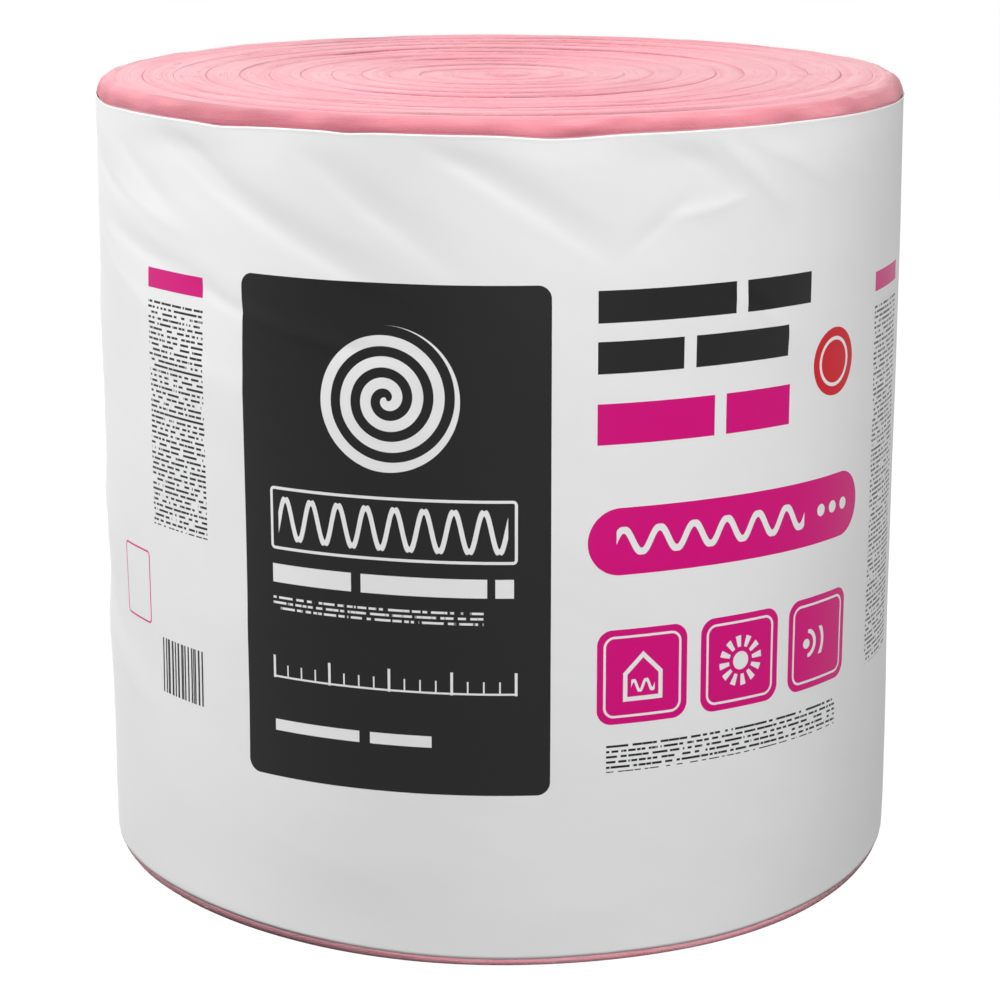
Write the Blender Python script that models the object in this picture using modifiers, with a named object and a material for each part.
"""A roll of glass wool insulation batt in its film sleeve, standing on one end.

One long batt is wound up on itself, with no core tube. Its turns show as a spiral on both
ends of the roll. A tube of packing film is stretched round it and leaves both ends bare.
All sizes are in metres, +Z is up, and the origin is at the middle of the foot.
"""

import math

import bmesh
import bpy

TAU = 2 * math.pi

# The batt, as it is sold: its width stands upright and is the height of the roll
BATT_WIDTH = 0.381
BATT_LENGTH = 7.62

# The wound roll
ROLL_RADIUS = 0.1905
TOP_EDGE_RADIUS = 0.010
FOOT_EDGE_RADIUS = 0.010
EYE_DROP = 0.0045
RIM_WIDTH = 0.030

# The groove between one turn and the next, on each end
GROOVE_DEPTH = 0.0025
EYE_RADIUS = 0.008
TAIL_ANGLE = math.radians(100)

# The film sleeve
FILM_THICKNESS = 0.0002
FILM_CLEARANCE = 0.0003
FILM_BELOW_EDGE = 0.0025
FILM_FOOT_TURN = math.radians(38)

# How finely round shapes are cut into flats
FACETS = 48
ARC_STEPS = 5

# A batt of this length, wound to this radius, has turns this thick
TURN_PITCH = math.pi * ROLL_RADIUS**2 / BATT_LENGTH

WOOL_PINK = (0.93, 0.40, 0.47, 1.0)
FILM_WHITE = (0.82, 0.82, 0.82, 1.0)


def clear_scene():
    """Removes the objects that Blender starts with."""
    for obj in list(bpy.data.objects):
        bpy.data.objects.remove(obj)


def new_collection(name):
    """A collection in the scene."""
    collection = bpy.data.collections.new(name)
    bpy.context.scene.collection.children.link(collection)
    return collection


def new_material(name, colour, roughness, specular):
    """A plain Principled material."""
    material = bpy.data.materials.new(name)
    material.use_nodes = True
    material.diffuse_color = colour
    shader = material.node_tree.nodes["Principled BSDF"]
    shader.inputs["Base Color"].default_value = colour
    shader.inputs["Roughness"].default_value = roughness
    shader.inputs["Metallic"].default_value = 0.0
    shader.inputs["Specular IOR Level"].default_value = specular
    return material


def arc(centre, radius, start, end):
    """Points of an arc as (radius from the axis, height), both ends included."""
    points = []
    for step in range(ARC_STEPS + 1):
        angle = start + (end - start) * step / ARC_STEPS
        points.append((centre[0] + radius * math.cos(angle), centre[1] + radius * math.sin(angle)))
    return points


def top_edge_centre():
    """Centre of the arc that rounds the top edge of the wool."""
    return (ROLL_RADIUS - TOP_EDGE_RADIUS, BATT_WIDTH - TOP_EDGE_RADIUS)


def foot_edge_centre():
    """Centre of the arc that rounds the foot edge of the wool."""
    return (ROLL_RADIUS - FOOT_EDGE_RADIUS, FOOT_EDGE_RADIUS)


def top_height(radius):
    """Height of the top end: level round the eye, then rising over RIM_WIDTH to the rim."""
    rim_radius = top_edge_centre()[0]
    rise = (radius - (rim_radius - RIM_WIDTH)) / RIM_WIDTH
    return BATT_WIDTH - EYE_DROP * (1 - min(max(rise, 0.0), 1.0))


def wool_profile():
    """Half section of the wound batt, from the top of the axis down to its foot."""
    rim_radius = top_edge_centre()[0]
    hollow = [(radius, top_height(radius)) for radius in (0.0, rim_radius - RIM_WIDTH)]
    top_edge = arc(top_edge_centre(), TOP_EDGE_RADIUS, math.pi / 2, 0)
    foot_edge = arc(foot_edge_centre(), FOOT_EDGE_RADIUS, 0, -math.pi / 2)
    return hollow + top_edge + foot_edge + [(0.0, 0.0)]


def film_profile():
    """Inner line of the sleeve, from its top edge down and round the foot edge of the wool."""
    inner_radius = ROLL_RADIUS + FILM_CLEARANCE
    film_top = top_edge_centre()[1] - FILM_BELOW_EDGE
    foot_turn = arc(foot_edge_centre(), FOOT_EDGE_RADIUS + FILM_CLEARANCE, 0, -FILM_FOOT_TURN)
    return [(inner_radius, film_top)] + foot_turn


def turned(name, profile, collection):
    """A profile in the XZ plane, turned round Z with a Screw modifier."""
    mesh = bpy.data.meshes.new(name)
    corners = [(radius, 0.0, height) for radius, height in profile]
    lines = [(index, index + 1) for index in range(len(corners) - 1)]
    mesh.from_pydata(corners, lines, [])
    obj = bpy.data.objects.new(name, mesh)
    collection.objects.link(obj)
    screw = obj.modifiers.new("turn", "SCREW")
    screw.axis = "Z"
    screw.angle = TAU
    screw.steps = FACETS
    screw.render_steps = FACETS
    screw.use_smooth_shade = True
    screw.use_merge_vertices = True
    screw.merge_threshold = 0.00001
    return obj


def spiral_points(end_radius, height_at):
    """Points along the seam between the turns, from the batt's tail at TAIL_ANGLE inwards.

    The radius of the seam shrinks by TURN_PITCH each time round, down to EYE_RADIUS.
    """
    points = []
    steps = int((end_radius - EYE_RADIUS) / TURN_PITCH * FACETS)
    for step in range(steps + 1):
        turn = step / FACETS
        angle = TAIL_ANGLE - TAU * turn
        radius = end_radius - TURN_PITCH * turn
        points.append((radius * math.cos(angle), radius * math.sin(angle), height_at(radius)))
    return points


def groove_cutter(name, points, collection):
    """A square bar, edge down, along the seam. It is made a mesh, as a Boolean needs."""
    curve = bpy.data.curves.new(name, "CURVE")
    curve.dimensions = "3D"
    curve.bevel_depth = GROOVE_DEPTH
    curve.bevel_resolution = 0
    curve.use_fill_caps = True
    spline = curve.splines.new("POLY")
    spline.points.add(len(points) - 1)
    for point, place in zip(spline.points, points):
        point.co = (*place, 1.0)
    guide = bpy.data.objects.new(name + "_path", curve)
    collection.objects.link(guide)
    bpy.context.view_layer.update()
    graph = bpy.context.evaluated_depsgraph_get()
    mesh = bpy.data.meshes.new_from_object(guide.evaluated_get(graph))
    bar = bmesh.new()
    bar.from_mesh(mesh)
    bmesh.ops.remove_doubles(bar, verts=bar.verts, dist=0.00001)
    bmesh.ops.recalc_face_normals(bar, faces=bar.faces)
    bar.to_mesh(mesh)
    bar.free()
    cutter = bpy.data.objects.new(name, mesh)
    cutter.matrix_world = guide.matrix_world
    cutter.hide_render = True
    cutter.display_type = "WIRE"
    collection.objects.link(cutter)
    bpy.data.objects.remove(guide)
    return cutter


def cut(obj, cutter):
    """Takes the cutter out of the object."""
    boolean = obj.modifiers.new(cutter.name, "BOOLEAN")
    boolean.operation = "DIFFERENCE"
    boolean.solver = "EXACT"
    boolean.object = cutter


def make_wool_roll(parts, cutters):
    """The wound batt: one turned solid with the seam between its turns cut into both ends."""
    wool = turned("wool_roll", wool_profile(), parts)
    top_seam = spiral_points(top_edge_centre()[0], top_height)
    foot_seam = spiral_points(foot_edge_centre()[0], lambda radius: 0.0)
    cut(wool, groove_cutter("top_seam_cutter", top_seam, cutters))
    cut(wool, groove_cutter("foot_seam_cutter", foot_seam, cutters))
    wool.data.materials.append(new_material("glass_wool", WOOL_PINK, 1.0, 0.1))
    return wool


def make_film_sleeve(parts):
    """The film: an open tube whose lower edge follows the wool inwards."""
    film = turned("film_sleeve", film_profile(), parts)
    wall = film.modifiers.new("film thickness", "SOLIDIFY")
    wall.thickness = FILM_THICKNESS
    wall.offset = 1.0
    wall.use_even_offset = True
    film.data.materials.append(new_material("packing_film", FILM_WHITE, 0.4, 0.5))
    return film


def main():
    clear_scene()
    parts = new_collection("insulation_roll")
    cutters = new_collection("cutters")
    make_wool_roll(parts, cutters)
    make_film_sleeve(parts)


main()
